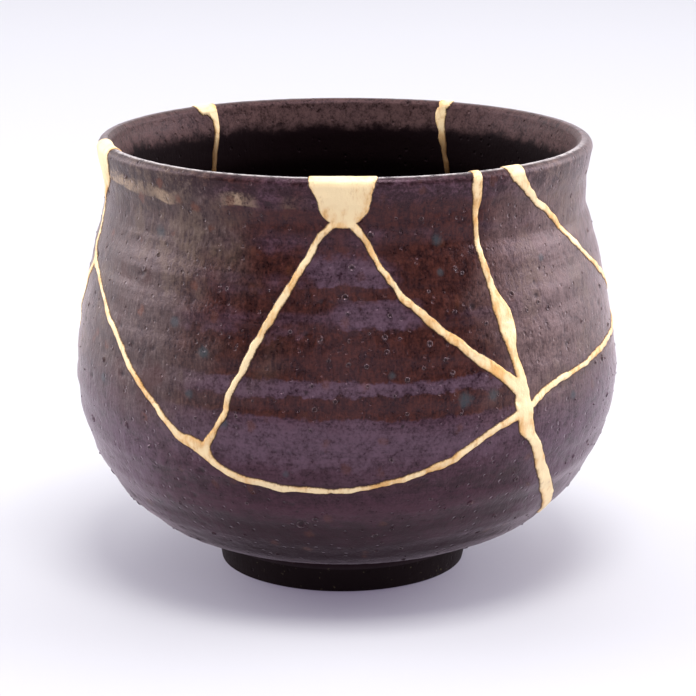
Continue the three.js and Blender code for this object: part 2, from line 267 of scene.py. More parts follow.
def thrownTree():
    tree, given, out = newTree("thrownBowl", [
        ("Turns", "Int", 600), ("Belly Height", "Float", 0.046), ("Bowl Height", "Float", 0.098),
        ("Foot Shift", "Float", 0.0), ("Rim Shift", "Float", 0.0), ("Ring Spacing", "Float", 0.008),
        ("Ring Depth", "Float", 0.0003), ("Wobble", "Float", 0.0002), ("Peel", "Float", 0.00006),
        ("Grain", "Float", 0.00003), ("Seed", "Int", 1), ("Material", "Material", None)])
    g = given.outputs
    m = partial(mathNode, tree)
    size = add(tree, "GeometryNodeAttributeDomainSize", {0: g["Geometry"]}).outputs["Point Count"]
    columns = m("ADD", g["Turns"], 1)
    grid = add(tree, "GeometryNodeMeshGrid", {"Vertices X": columns, "Vertices Y": size}).outputs["Mesh"]
    index = add(tree, "GeometryNodeInputIndex").outputs[0]
    row = m("MODULO", index, size)
    column = m("FLOOR", m("DIVIDE", m("ADD", index, 0.5), size))
    turn = m("MULTIPLY", m("DIVIDE", column, g["Turns"]), math.tau)
    place = add(tree, "GeometryNodeInputPosition").outputs[0]

    def fromSection(value, kind):
        return add(tree, "GeometryNodeSampleIndex", {"Geometry": g["Geometry"], "Value": value, "Index": row},
                   data_type=kind, domain="POINT").outputs[0]

    parts = add(tree, "ShaderNodeSeparateXYZ", {0: fromSection(place, "FLOAT_VECTOR")}).outputs
    spot = add(tree, "ShaderNodeCombineXYZ", {
        0: m("MULTIPLY", parts[0], m("SINE", turn)),
        1: m("MULTIPLY", parts[0], m("MULTIPLY", m("COSINE", turn), -1)), 2: parts[2]}).outputs[0]
    kept = grid
    for label in ("relief", "inside"):
        kept = storeFloat(tree, kept, label, fromSection(storedFloat(tree, label), "FLOAT"))
    turned = add(tree, "GeometryNodeSetPosition", {"Geometry": kept, "Position": spot}).outputs[0]
    closed = add(tree, "GeometryNodeMergeByDistance", {"Geometry": turned, "Distance": 0.000002}).outputs[0]

    def ripple(scale, stretch, detail, offset):
        # noise about zero; the offset and the seed give each one a field of its own
        offset = m("ADD", m("MULTIPLY", g["Seed"], 3.7), offset)
        shift = add(tree, "ShaderNodeCombineXYZ", {0: offset}).outputs[0]
        moved = vectorMath(tree, "ADD", vectorMath(tree, "MULTIPLY", place, stretch), shift)
        made = add(tree, "ShaderNodeTexNoise",
                   {"Vector": moved, "Scale": scale, "Detail": detail, "Roughness": 0.55})
        return m("SUBTRACT", made.outputs[0], 0.5)

    across, deep, height = add(tree, "ShaderNodeSeparateXYZ", {0: place}).outputs
    turn = m("ARCTAN2", across, deep)
    phase = m("ADD", m("DIVIDE", height, g["Ring Spacing"]), m("DIVIDE", turn, math.tau))
    phase = m("ADD", phase, m("MULTIPLY", ripple(1.0, (14, 14, 60), 1.0, 3.1), 1.3))
    wave = m("MULTIPLY", m("SINE", m("MULTIPLY", phase, math.tau)), 0.5)
    loud = m("ADD", m("MULTIPLY", ripple(1.0, (18, 18, 34), 1.0, 9.4), 1.6), 0.7)
    rings = m("MULTIPLY", m("MULTIPLY", wave, loud), g["Ring Depth"])
    fine = m("MULTIPLY", ripple(1.0, (22, 22, 520), 2.0, 17.0), m("MULTIPLY", g["Ring Depth"], 0.8))
    dents = m("MULTIPLY", ripple(26.0, (1, 1, 1), 1.5, 1.0), m("MULTIPLY", g["Wobble"], 3))
    peel = m("MULTIPLY", ripple(430.0, (1, 1, 1), 2.0, 5.0), m("MULTIPLY", g["Peel"], 2.4))
    grain = m("MULTIPLY", ripple(1300.0, (1, 1, 1), 1.0, 23.0), m("MULTIPLY", g["Grain"], 2.4))
    total = m("ADD", m("ADD", m("ADD", rings, fine), m("ADD", peel, grain)), dents)
    share = storedFloat(tree, "relief")
    total = m("MINIMUM", m("MULTIPLY", total, share), m("MULTIPLY", g["Ring Depth"], 0.4))
    ridged = storeFloat(tree, closed, "ridge", m("MULTIPLY", m("MULTIPLY", wave, loud), share))
    normal = add(tree, "GeometryNodeInputNormal").outputs[0]
    along = add(tree, "ShaderNodeVectorMath", {0: normal, "Scale": total}, operation="SCALE").outputs[0]
    dented = add(tree, "GeometryNodeSetPosition", {"Geometry": ridged, "Offset": along}).outputs[0]

    low = add(tree, "ShaderNodeMapRange", {"Value": height, "From Min": 0.0, "From Max": g["Belly Height"],
                                           "To Min": g["Foot Shift"], "To Max": 0.0}).outputs[0]
    high = add(tree, "ShaderNodeMapRange", {"Value": height, "From Min": g["Belly Height"],
                                            "From Max": g["Bowl Height"], "To Min": 0.0,
                                            "To Max": g["Rim Shift"]}).outputs[0]
    lean = add(tree, "ShaderNodeCombineXYZ", {0: m("ADD", low, high)}).outputs[0]
    leaned = add(tree, "GeometryNodeSetPosition", {"Geometry": dented, "Offset": lean}).outputs[0]
    real = add(tree, "GeometryNodeRealizeInstances", {0: leaned}).outputs[0]
    done = add(tree, "GeometryNodeSetMaterial", {"Geometry": real, "Material": g["Material"]}).outputs[0]
    tree.links.new(done, out.inputs[0])
    return tree


def throwBowl(material):
    rows = bowlProfile()
    verts = [(radius * mm, 0, level * mm) for radius, level in rows[:, :2]]
    chain = [(i, i + 1) for i in range(len(verts) - 1)]
    section = addObject("thrown_bowl", meshFrom("section", verts, chain))
    keepFloats(section.data, "relief", rows[:, 2].copy())
    keepFloats(section.data, "inside", rows[:, 3].copy())
    modifier = section.modifiers.new("throw", "NODES")
    modifier.node_group = thrownTree()
    setInputs(modifier, {
        "Turns": bowl["turns"], "Belly Height": bowl["bellyHeight"] * mm, "Bowl Height": bowl["height"] * mm,
        "Foot Shift": bowl["footShift"] * mm, "Rim Shift": bowl["rimShift"] * mm,
        "Ring Spacing": relief["ringSpacing"] * mm, "Ring Depth": relief["ringDepth"] * mm,
        "Wobble": relief["wobble"] * mm, "Peel": relief["peel"] * mm, "Grain": relief["grain"] * mm,
        "Seed": relief["seed"], "Material": material})
    bake(section, "thrown_bowl")
    shell = bmesh.new()
    shell.from_mesh(section.data)
    faceOutward(shell)
    shell.to_mesh(section.data)
    shell.free()
    return section


# The cracks: degrees round from the front, share of the height, width in mm

aboveRim = 1.03
cracks = {
    "leftRim": [(-78.6, 0.884, 3.4), (-79.3, 0.862, 1.8), (-78.6, 0.825, 1.6), (-78.2, 0.78, 1.7),
                (-76.2, 0.742, 2.6)],
    "leftArc": [(-76.2, 0.742, 2.2), (-71, 0.72, 1.5), (-66.6, 0.696, 1.5), (-61.3, 0.654, 1.6),
                (-56.8, 0.623, 1.7), (-49.8, 0.554, 1.6), (-45.2, 0.522, 1.5), (-38.8, 0.466, 1.6),
                (-35.2, 0.434, 2.3), (-29.4, 0.412, 3.7), (-28.2, 0.392, 1.9), (-25.4, 0.374, 1.7),
                (-21.9, 0.359, 1.8), (-14.5, 0.344, 1.9), (-6, 0.338, 1.7), (0.9, 0.342, 1.5),
                (6.5, 0.351, 1.4), (14.1, 0.371, 1.5), (21.8, 0.402, 1.8), (24.4, 0.423, 1.5),
                (30.9, 0.461, 1.6), (35.6, 0.478, 2.0), (37.5, 0.484, 2.4)],
    "rightArc": [(37.5, 0.486, 1.6), (43.5, 0.517, 1.8), (47.8, 0.532, 1.5), (53.3, 0.541, 1.4),
                 (66.8, 0.561, 1.5), (76, 0.572, 1.5), (88, 0.585, 1.5), (97, 0.61, 2.2)],
    "fillToArc": [(-2.6, 0.9, 1.6), (-5.7, 0.872, 1.4), (-9.9, 0.801, 1.5), (-12.8, 0.751, 1.7),
                  (-16.1, 0.697, 1.7), (-20.3, 0.606, 1.7), (-23.6, 0.542, 1.5), (-24.3, 0.505, 1.3),
                  (-26.3, 0.47, 1.3), (-28.6, 0.425, 1.9), (-29.1, 0.41, 2.8)],
    "fillToKnot": [(1.6, 0.9, 1.8), (4.7, 0.861, 1.4), (6.2, 0.827, 1.3), (10, 0.777, 1.4),
                   (12.2, 0.745, 1.6), (17.5, 0.695, 1.8), (24.1, 0.638, 2.2), (30.6, 0.586, 2.5),
                   (34.1, 0.559, 3), (37.1, 0.525, 3.3)],
    "rimToKnot": [(30.2, aboveRim, 2.1), (29.9, 0.972, 2.4), (30.1, 0.946, 2.5), (29.9, 0.9, 1.3),
                  (30.8, 0.822, 1.4), (32.2, 0.751, 2), (34.2, 0.697, 4), (34.9, 0.664, 4.8),
                  (35.3, 0.626, 2.7), (36.1, 0.6, 2.1), (37, 0.554, 2.6), (37.3, 0.51, 4.4),
                  (37.8, 0.472, 4.6)],
    "knotToFoot": [(37.5, 0.494, 4.2), (37.8, 0.472, 4.6), (38.4, 0.447, 4.1), (40.4, 0.423, 2.6),
                   (42.7, 0.38, 3), (45.4, 0.336, 3.2), (49.7, 0.287, 3.5), (54.9, 0.238, 3.7),
                   (62, 0.184, 3), (74, 0.148, 2.1), (90, 0.134, 1.7), (103, 0.146, 1.7), (113, 0.19, 1.6),
                   (120, 0.28, 1.6), (123, 0.39, 1.7), (117, 0.575, 2)],
    "rightRim": [(40.3, aboveRim, 6), (40.5, 0.992, 5.2), (41.8, 0.972, 3.2), (44, 0.947, 1.9),
                 (47.3, 0.921, 1.6), (52.6, 0.888, 1.6), (62.7, 0.809, 1.6), (68.6, 0.769, 1.7),
                 (75.2, 0.723, 1.7), (84, 0.68, 1.6), (97, 0.61, 2.2)],
    "backArc": [(97, 0.61, 2.2), (107, 0.585, 1.7), (117, 0.575, 2), (129, 0.53, 1.6), (140, 0.49, 1.7),
                (150, 0.474, 2.3), (163, 0.442, 1.6), (178, 0.457, 1.5), (195, 0.432, 1.7),
                (208, 0.45, 1.6), (222, 0.442, 2.4), (238, 0.425, 1.6), (254, 0.447, 1.5),
                (265, 0.505, 1.6), (271, 0.58, 1.5), (277, 0.66, 1.5), (283.8, 0.742, 2.2)],
    "backLeftRim": [(219.5, aboveRim, 7.6), (219.1, 0.995, 6.2), (218.2, 0.976, 3.4), (217.2, 0.956, 1.6),
                    (218.7, 0.88, 1.3), (221.5, 0.75, 1.4), (219, 0.65, 1.4), (223, 0.55, 1.6),
                    (222, 0.442, 2.4)],
    "backRightRim": [(152.2, aboveRim, 4.2), (152.4, 0.994, 3.6), (152.9, 0.983, 1.9), (153.4, 0.962, 3.3),
                     (152.8, 0.939, 2.2), (151.3, 0.87, 1.2), (149, 0.735, 1.4), (152, 0.633, 1.5),
                     (148, 0.541, 1.6), (150, 0.474, 2.3)],
}
fills = {
    "front_rim_fill": [(-0.35, aboveRim, 13.4), (-0.35, 0.98, 13), (-0.3, 0.952, 11.6), (-0.3, 0.927, 10),
                       (-0.5, 0.905, 7), (-0.5, 0.891, 4.4)],
    "left_rim_fill": [(-76, aboveRim, 13), (-75.4, 0.985, 14), (-75.4, 0.965, 14), (-76.6, 0.937, 11.2),
                      (-78.2, 0.913, 7.4), (-78.8, 0.893, 4.4), (-78.6, 0.88, 3)],
}
shards = {
    "base_shard": (0, 0.22), "front_belly_shard": (0, 0.6), "front_left_rim_shard": (-40, 0.8),
    "front_right_rim_shard": (20, 0.85), "right_rim_shard": (55, 0.7), "back_right_rim_shard": (120, 0.8),
    "back_rim_shard": (185, 0.75), "back_left_rim_shard": (250, 0.75), "lower_right_shard": (75, 0.35),
}
mend = {  # how the lacquer lies, in mm; reaches are steps of smoothing along a narrow and a wide route
    "jointGap": 0.09, "proud": 0.245, "edgeRound": 0.62, "broadAt": 1.8, "step": 0.42, "finest": 0.5,
    "wander": 0.18, "swell": 0.09, "ragged": 0.15, "ripple": 0.045, "rippleScale": 420, "seed": 31,
    "wideFrom": 9, "pathReach": (4, 12), "guideReach": (6, 20),
}


def jitter(count, wavelengths, seed):
    # smooth one-dimensional noise from -1 to 1 in steps of the mend, fading out at both ends
    rng = np.random.default_rng(seed)
    total = np.zeros(count)
    for k, wavelength in enumerate(wavelengths):
        knots = max(int(count * mend["step"] / wavelength) + 2, 3)
        heights = rng.uniform(-1, 1, knots)
        total += np.interp(np.linspace(0, knots - 1, count), range(knots), heights) / (k + 1)
    fade = np.minimum(np.arange(count), np.arange(count)[::-1]) * mend["step"] / 1.5
    return total * np.clip(fade, 0, 1)


def smoothed(values, reach):
    padded = np.pad(values, ((reach, reach), (0, 0)), "edge")
    weights = np.hanning(2 * reach + 3)[1:-1]
    weights /= weights.sum()
    return np.stack([np.convolve(padded[:, k], weights, "valid") for k in range(values.shape[1])], 1)


def crackCutter(name, route, gap, seed):
    # a slab square to the wall along one crack, with wandering and ragged edges
    turns, levels, widths = np.array(route).T
    gone = lengthAlong(np.array([onWall(*mark[:2])[0] for mark in route]))
    count = int(gone[-1] / mend["step"]) + 2
    where = np.linspace(0, gone[-1], count)
    path = np.stack([np.interp(where, gone, turns), np.interp(where, gone, levels)], 1)
    half = np.interp(where, gone, widths / 2)
    wide = int(widths.max() > mend["wideFrom"])
    ends = path[0], path[-1]
    path = smoothed(path, mend["pathReach"][wide])
    path[0], path[-1] = ends
    middle, out, deep = (np.array(column) for column in zip(*[onWall(*mark) for mark in path]))
    guide = smoothed(middle, mend["guideReach"][wide])
    along = np.gradient(guide, axis=0)
    along /= np.linalg.norm(along, axis=1)[:, None]
    side = np.cross(out, along)
    side /= np.linalg.norm(side, axis=1)[:, None]
    middle[0] -= along[0] * gap
    middle[-1] += along[-1] * gap
    middle += side * (jitter(count, (5, 2.2, 1.1), seed) * mend["wander"])[:, None]
    edges = []
    for k in (seed + 1, seed + 3):
        edge = half * (1 + mend["swell"] * jitter(count, (4, 1.6), k))
        edges.append(edge + mend["ragged"] * jitter(count, (1.8, 0.9), k + 1) + gap)
    left, right = edges
    reach = lipRadius + 0.6
    corners = [middle + side * sideways[:, None] + out * np.broadcast_to(depth, count)[:, None]
               for sideways, depth in ((-left, reach), (right, reach), (right, -(deep + reach)),
                                       (-left, -(deep + reach)))]
    verts = np.stack(corners, 1).reshape(-1, 3) * mm
    faces = [(3, 2, 1, 0), tuple(4 * (count - 1) + k for k in range(4))]
    for i in range(count - 1):
        a, b = 4 * i, 4 * (i + 1)
        faces += [(a + k, a + (k + 1) % 4, b + (k + 1) % 4, b + k) for k in range(4)]
    thing = addObject(name, meshFrom(name, verts, faces=faces))
    solid = bmesh.new()
    solid.from_mesh(thing.data)
    faceOutward(solid)
    bmesh.ops.triangulate(solid, faces=solid.faces)
    solid.to_mesh(thing.data)
    solid.free()
    return thing


def combine(thing, other, operation, name=None):
    modifier = thing.modifiers.new("cut", "BOOLEAN")
    modifier.operation = operation
    modifier.solver = "MANIFOLD"
    modifier.object = other
    return bake(thing, name or thing.data.name)


def remove(*things):
    for thing in things:
        bpy.data.objects.remove(thing, do_unlink=True)


def joinedCutter(name, routes, gap):
    joined = None
    for k, (label, route) in enumerate(routes.items()):
        slab = crackCutter(label, route, gap, mend["seed"] + 10 * k)
        if joined is None:
            joined = slab
            joined.name = name
            continue
        combine(joined, slab, "UNION")
        remove(slab)
    return joined


def copyOf(thing, name):
    twin = thing.copy()
    twin.data = thing.data.copy()
    twin.name = name
    bpy.context.scene.collection.objects.link(twin)
    return twin


def looseParts(thing):
    bpy.ops.object.select_all(action="DESELECT")
    thing.select_set(True)
    bpy.context.view_layer.objects.active = thing
    bpy.ops.mesh.separate(type="LOOSE")
    return [part for part in bpy.context.selected_objects if part.type == "MESH"]


def meshPoints(mesh):
    flat = np.empty(len(mesh.vertices) * 3)
    mesh.vertices.foreach_get("co", flat)
    return flat.reshape(-1, 3)


def smoothShade(mesh, degrees=38):
    mesh.shade_smooth()
    mesh.set_sharp_from_angle(angle=math.radians(degrees))


def nameParts(parts, places):
    # the part whose skin comes nearest to each named place; the crumbs left over are thrown away
    named = {}
    clouds = [meshPoints(part.data) for part in parts]
    for name, place in places.items():
        spot = np.array(onWall(*place)[0]) * mm
        nearest = [np.linalg.norm(cloud - spot, axis=1).min() for cloud in clouds]
        named[name] = parts[int(np.argmin(nearest))]
    remove(*[part for part in parts if part not in named.values()])
    for name, part in named.items():
        part.name = part.data.name = name
    return named


# Gold lacquer: the strip cut out of the bowl's own skin, made finer and raised to a rounded bead

def skinFacesOf(solid, skinTree):
    # the faces that follow the bowl's skin, without the hidden ones through the wall
    return {face for face in solid.faces
            if abs(face.normal.dot(skinTree.find_nearest(face.calc_center_median())[1])) > 0.75}


def lacquerEdges(thing, skinTree):
    # a search tree of the places where the gold meets the glaze
    solid = bmesh.new()
    solid.from_mesh(thing.data)
    bmesh.ops.triangulate(solid, faces=solid.faces)
    skinFaces = skinFacesOf(solid, skinTree)
    places = []
    for edge in solid.edges:
        if sum(face in skinFaces for face in edge.link_faces) == 1:
            ends = [vert.co.copy() for vert in edge.verts]
            places += [ends[0], (ends[0] + ends[1]) / 2, ends[1]]
    solid.free()
    tree = KDTree(len(places))
    for k, place in enumerate(places):
        tree.insert(place, k)
    tree.balance()
    return tree


def raiseBead(thing, skinTree, edges):
    solid = bmesh.new()
    solid.from_mesh(thing.data)
    bmesh.ops.triangulate(solid, faces=solid.faces)
    for _ in range(2):
        long = {edge for face in skinFacesOf(solid, skinTree) for edge in face.edges
                if edge.calc_length() > mend["finest"] * mm}
        bmesh.ops.subdivide_edges(solid, edges=list(long), cuts=1, use_grid_fill=True)
        bmesh.ops.triangulate(solid, faces=[face for face in solid.faces if len(face.verts) > 3])
    seed = Vector((mend["seed"] * 1.7, 0, 0))
    fromEdge = solid.verts.layers.float.new("fromEdge")
    broad = solid.verts.layers.float.new("broad")
    moves = {}
    for vert in {vert for face in skinFacesOf(solid, skinTree) for vert in face.verts}:
        apart = edges.find(vert.co)[2] / mm
        inward = min(apart / mend["edgeRound"], 1)
        vert[fromEdge], vert[broad] = inward, min(apart / mend["broadAt"], 1)
        rise = mend["proud"] * math.sqrt(1 - (1 - inward) ** 2)
        rise += mend["ripple"] * noise.noise(vert.co * mend["rippleScale"] + seed) * inward
        moves[vert] = skinTree.find_nearest(vert.co)[1] * rise * mm
    for vert, move in moves.items():
        vert.co += move
    solid.to_mesh(thing.data)
    solid.free()


# Pits pressed into the glaze, and blisters and grit standing on it

pits = {  # in mm; depth and rim are shares of the radius
    "count": 130, "small": 0.5, "large": 1.15, "lowest": 9, "highest": 92, "depth": 0.38, "rim": 0.07,
    "rimWidth": 0.6, "reach": 1.6, "darkness": 0.85, "seed": 5,
    "placed": [(-9.4, 24.6, 1.5), (7.1, 21.2, 1.1), (-46, 58, 0.9), (52, 62, 0.8)],  # degrees, height, radius
}
blisters = {  # in mm; a profile gives radius, height and a painted share, from a dark hole at -1, painted shade, to a pale edge at 1, partly a painted glint
    "crater": {"profile": [(0, 0.03, -1), (0.36, 0.04, -1), (0.55, 0.2, 0.4), (0.72, 0.26, 1),
                           (0.94, 0.08, 0.3), (1.12, -0.14, 0)],
               "sides": 12, "gap": 3.8, "small": 0.36, "large": 0.74, "share": 0.5, "seed": 21},
    "grit": {"profile": [(0, 0.62, 0.4), (0.4, 0.5, 0.35), (0.78, 0.22, 0.15), (1.0, -0.16, 0)],
             "sides": 7, "gap": 2.3, "small": 0.16, "large": 0.36, "share": 0.6, "seed": 22},
}
blisterSpots = [  # craters that catch the eye: degrees, height, radius
    (5.5, 85.9, 0.85), (1.4, 79.5, 0.8), (-0.1, 73.8, 0.75), (16.9, 64, 0.75), (24, 78.5, 0.55),
    (25.6, 77.4, 0.5), (35.8, 67.2, 0.6), (44.3, 69.2, 0.55), (47.2, 67.6, 0.7), (7.8, 65.8, 0.7),
    (-2.2, 52.9, 0.6), (-11.3, 66.7, 0.5), (-31, 47.2, 0.45), (-9.4, 24.4, 1.25), (-6.3, 26, 0.8),
    (7.1, 21.4, 0.95), (-14, 33, 0.5), (9, 70, 0.6), (12, 57, 0.65), (20, 60.5, 0.55), (4, 60, 0.6),
    (-21, 29, 0.5),
]
blisterField = {  # thickest round one place, and clear of the foot, the lip and the gold: degrees and mm
    "turn": 14, "turnSpread": 30, "level": 60, "levelSpread": 20, "elsewhere": 0.3,
    "above": 8, "aboveFade": 5, "below": 95, "belowFade": 3, "goldGap": 0.9, "goldFade": 0.6,
}


def carvePits(thing):
    # round hollows with a low rim, painted dark inside as shade
    mesh = thing.data
    rng = random.Random(pits["seed"])
    spots = list(pits["placed"])
    while len(spots) < pits["count"]:
        spots.append((rng.uniform(-180, 180), rng.uniform(pits["lowest"], pits["highest"]),
                      rng.uniform(pits["small"], pits["large"])))
    places, inside = meshPoints(mesh), meshFloats(mesh, "inside")
    dark = np.zeros(len(places))
    for degrees, level, radius in spots:
        point, out = onWall(degrees, level / bowl["height"])[:2]
        away = np.linalg.norm(places - np.array(point) * mm, axis=1) / (radius * mm)
        near = (away < pits["reach"]) & (inside < 0.5)
        away = away[near]
        dark[near] = np.minimum(dark[near], -pits["darkness"] * np.clip(1.2 - away, 0, 1))
        hollow = -np.maximum(1 - away ** 2, 0) ** 1.5
        rim = pits["rim"] * np.sin(np.clip((away - 1) / pits["rimWidth"], 0, 1) * math.pi)
        dip = np.where(away < 1, hollow, rim)
        places[near] += np.outer(dip * pits["depth"] * radius * mm, np.array(out))
    keepFloats(mesh, "crust", dark)
    mesh.vertices.foreach_set("co", places.ravel())
    mesh.update()


def blisterShares(mesh, edges):
    field = blisterField
    places = meshPoints(mesh)
    turn = np.degrees(np.arctan2(places[:, 0], -places[:, 1]))
    level = places[:, 2] / mm
    crowd = np.exp(-((turn - field["turn"]) / field["turnSpread"]) ** 2)
    crowd *= np.exp(-((level - field["level"]) / field["levelSpread"]) ** 2)
    share = field["elsewhere"] + (1 - field["elsewhere"]) * crowd
    share *= np.clip((level - field["above"]) / field["aboveFade"], 0, 1)
    share *= np.clip((field["below"] - level) / field["belowFade"], 0, 1)
    share *= meshFloats(mesh, "inside") < 0.01
    apart = np.array([edges.find(place)[2] for place in places]) / mm
    share *= np.clip((apart - field["goldGap"]) / field["goldFade"], 0, 1)
    keepFloats(mesh, "blisters", share)


def turnedMesh(name, profile, sides):
    # a small cap turned round its axis and closed underneath
    verts, faces = [(0, 0, profile[0][1])], []
    for radius, level, crust in profile[1:]:
        verts += [(radius * math.cos(math.tau * k / sides), radius * math.sin(math.tau * k / sides), level)
                  for k in range(sides)]
    verts.append((0, 0, profile[-1][1]))
    for k in range(sides):
        after = (k + 1) % sides
        faces.append((0, 1 + k, 1 + after))
        for ring in range(len(profile) - 2):
            low = 1 + ring * sides
            faces.append((low + k, low + sides + k, low + sides + after, low + after))
        low = 1 + (len(profile) - 2) * sides
        faces.append((low + k, len(verts) - 1, low + after))
    mesh = meshFrom(name, verts, faces=faces)
    holeShadeAndGlints = [profile[0][2]] + [row[2] for row in profile[1:] for _ in range(sides)] + [0]
    keepFloats(mesh, "crust", holeShadeAndGlints)
    return mesh


def scatterTree():
    tree, given, out = newTree("glazeBlisters", [
        ("Blister", "Object", None), ("Gap", "Float", 0.003), ("Share", "Float", 1.0),
        ("Smallest", "Float", 0.0004), ("Largest", "Float", 0.0009), ("Seed", "Int", 0),
        ("Material", "Material", None)])
    g = given.outputs

    def vary(low, high):
        return add(tree, "FunctionNodeRandomValue", {"Min": low, "Max": high, "Seed": g["Seed"]},
                   data_type="FLOAT_VECTOR").outputs[0]

    share = mathNode(tree, "MULTIPLY", storedFloat(tree, "blisters"), g["Share"])
    spots = add(tree, "GeometryNodeDistributePointsOnFaces",
                {"Mesh": g["Geometry"], "Distance Min": g["Gap"], "Density Max": 200000.0,
                 "Density Factor": share, "Seed": g["Seed"]}, distribute_method="POISSON").outputs
    spin = add(tree, "FunctionNodeEulerToRotation", {0: vary((0, 0, 0), (0.25, 0.25, math.tau))}).outputs[0]
    facing = add(tree, "FunctionNodeRotateRotation", {"Rotation": spots["Rotation"], "Rotate By": spin},
                 rotation_space="LOCAL").outputs[0]
    size = add(tree, "FunctionNodeRandomValue", {2: g["Smallest"], 3: g["Largest"], "Seed": g["Seed"]},
               data_type="FLOAT").outputs[1]
    shape = vary((0.75, 0.9, 0.7), (1.1, 1.3, 1.2))
    size = add(tree, "ShaderNodeVectorMath", {0: shape, "Scale": size}, operation="SCALE").outputs[0]
    blister = add(tree, "GeometryNodeObjectInfo", {"Object": g["Blister"]},
                  transform_space="ORIGINAL").outputs
    many = add(tree, "GeometryNodeInstanceOnPoints",
               {"Points": spots["Points"], "Instance": blister["Geometry"], "Rotation": facing,
                "Scale": size}).outputs[0]
    real = add(tree, "GeometryNodeRealizeInstances", {0: many}).outputs[0]
    done = add(tree, "GeometryNodeSetMaterial", {"Geometry": real, "Material": g["Material"]}).outputs[0]
    tree.links.new(done, out.inputs[0])
    return tree


def scatterBlisters(thing, material):
    tree = scatterTree()
    made = {}
    for name, facts in blisters.items():
        cap = addObject(name + "_cap", turnedMesh(name, facts["profile"], facts["sides"]))
        field = copyOf(thing, "glaze_" + name)
        modifier = field.modifiers.new("scatter", "NODES")
        modifier.node_group = tree
        setInputs(modifier, {"Blister": cap, "Gap": facts["gap"] * mm, "Share": facts["share"],
                             "Smallest": facts["small"] * mm, "Largest": facts["large"] * mm,
                             "Seed": facts["seed"], "Material": material})
        made[name] = bake(field, "glaze_" + name)
        if name == "crater":
            placeSpots(made[name], cap, thing)
        remove(cap)
    return made


def placeSpots(field, cap, thing):
    # the craters with a place of their own join the scattered ones
    skin = BVHTree.FromObject(thing, bpy.context.evaluated_depsgraph_get())
    solid = bmesh.new()
    solid.from_mesh(field.data)
    for degrees, level, radius in blisterSpots:
        point = onWall(degrees, level / bowl["height"])[0]
        spot, normal = skin.find_nearest(point * mm)[:2]
        facing = normal.to_track_quat("Z", "Y").to_matrix().to_4x4()
        twin = cap.data.copy()
        twin.transform(Matrix.Translation(spot) @ facing @ Matrix.Scale(radius * mm, 4))
        solid.from_mesh(twin)
        bpy.data.meshes.remove(twin)
    for face in solid.faces:
        face.material_index = 0
    solid.to_mesh(field.data)
    solid.free()


def sectionSearch():
    # a search tree of the section's rows, and how far inside each row is
    rows = bowlProfile()
    tree = KDTree(len(rows))
    for k, (radius, level) in enumerate(rows[:, :2]):
        tree.insert((radius, level, 0), k)
    tree.balance()
    return tree, rows[:, 3]


def tellInside(mesh, tree, depths):
    # points on a cut don't know their side of the wall, so the nearest row of the section tells it
    values = [depths[tree.find((math.hypot(x - leanAt(z), y), z, 0))[1]] for x, y, z in meshPoints(mesh) / mm]
    mesh.attributes["inside"].data.foreach_set("value", values)


finishes = {  # the outer glaze runs over the lip; the inside and the foot are drier
    "outer_glaze": {"gloss": 0.33, "sheen": 0.40, "roughness": 0.28},
    "inner_glaze": {"gloss": 0.10, "sheen": 0.04, "roughness": 0.28},
    "bare_foot": {"gloss": 0.08, "sheen": 0.04, "roughness": 0.28},
}
finishEdges = {"bareBelow": 6.2, "innerFrom": 0.62}  # mm, and how far inside


def glazeFaces(mesh):
    for material in glazes.values():
        mesh.materials.append(material)
    corners = np.empty(len(mesh.loops), int)
    mesh.loops.foreach_get("vertex_index", corners)
    starts = np.empty(len(mesh.polygons), int)
    mesh.polygons.foreach_get("loop_start", starts)
    sides = np.diff(np.append(starts, len(corners)))
    inside = np.add.reduceat(meshFloats(mesh, "inside")[corners], starts) / sides
    level = np.add.reduceat(meshPoints(mesh)[corners, 2], starts) / sides
    inner = (inside > finishEdges["innerFrom"]).astype(int)
    mesh.polygons.foreach_set("material_index", np.where(level < finishEdges["bareBelow"] * mm, 2, inner))


def keepWithin(mesh, limit):
    # nothing stands out past the widest part of the bowl
    places = meshPoints(mesh)
    away = np.maximum(np.linalg.norm(places[:, :2], axis=1) / mm, 1)
    places[:, :2] *= np.minimum(limit / away, 1)[:, None]
    mesh.vertices.foreach_set("co", places.ravel())
    mesh.update()


glazes = {name: bpy.data.materials.new(name) for name in finishes}
glaze = glazes["outer_glaze"]
gold = bpy.data.materials.new("gold_lacquer")
whole = throwBowl(glaze)
carvePits(whole)
skinTree = BVHTree.FromObject(whole, bpy.context.evaluated_depsgraph_get())
print("thrown", len(whole.data.vertices), "points")

everyRoute = {**fills, **cracks}
wideCut = joinedCutter("wide_cut", everyRoute, mend["jointGap"])
pieces = nameParts(looseParts(combine(copyOf(whole, "broken"), wideCut, "DIFFERENCE")), shards)
print("broken into", {name: len(part.data.vertices) for name, part in pieces.items()})

goldCut = joinedCutter("gold_cut", everyRoute, 0)
seams = combine(copyOf(whole, "gilt_seams"), goldCut, "INTERSECT")
edges = lacquerEdges(seams, skinTree)
for name, route in fills.items():
    fillCut = joinedCutter(name + "_cut", {name: route}, 0)
    pieces[name] = combine(copyOf(seams, name), fillCut, "INTERSECT")
    combine(seams, fillCut, "DIFFERENCE")
    remove(fillCut)
pieces["gold_seams"] = seams
for name in (*fills, "gold_seams"):
    raiseBead(pieces[name], skinTree, edges)
print("gold raised", {name: len(pieces[name].data.vertices) for name in (*fills, "gold_seams")})

blisterShares(whole.data, edges)
scattered = scatterBlisters(whole, glaze)
print("blisters", {name: len(field.data.polygons) for name, field in scattered.items()})
remove(whole, wideCut, goldCut)

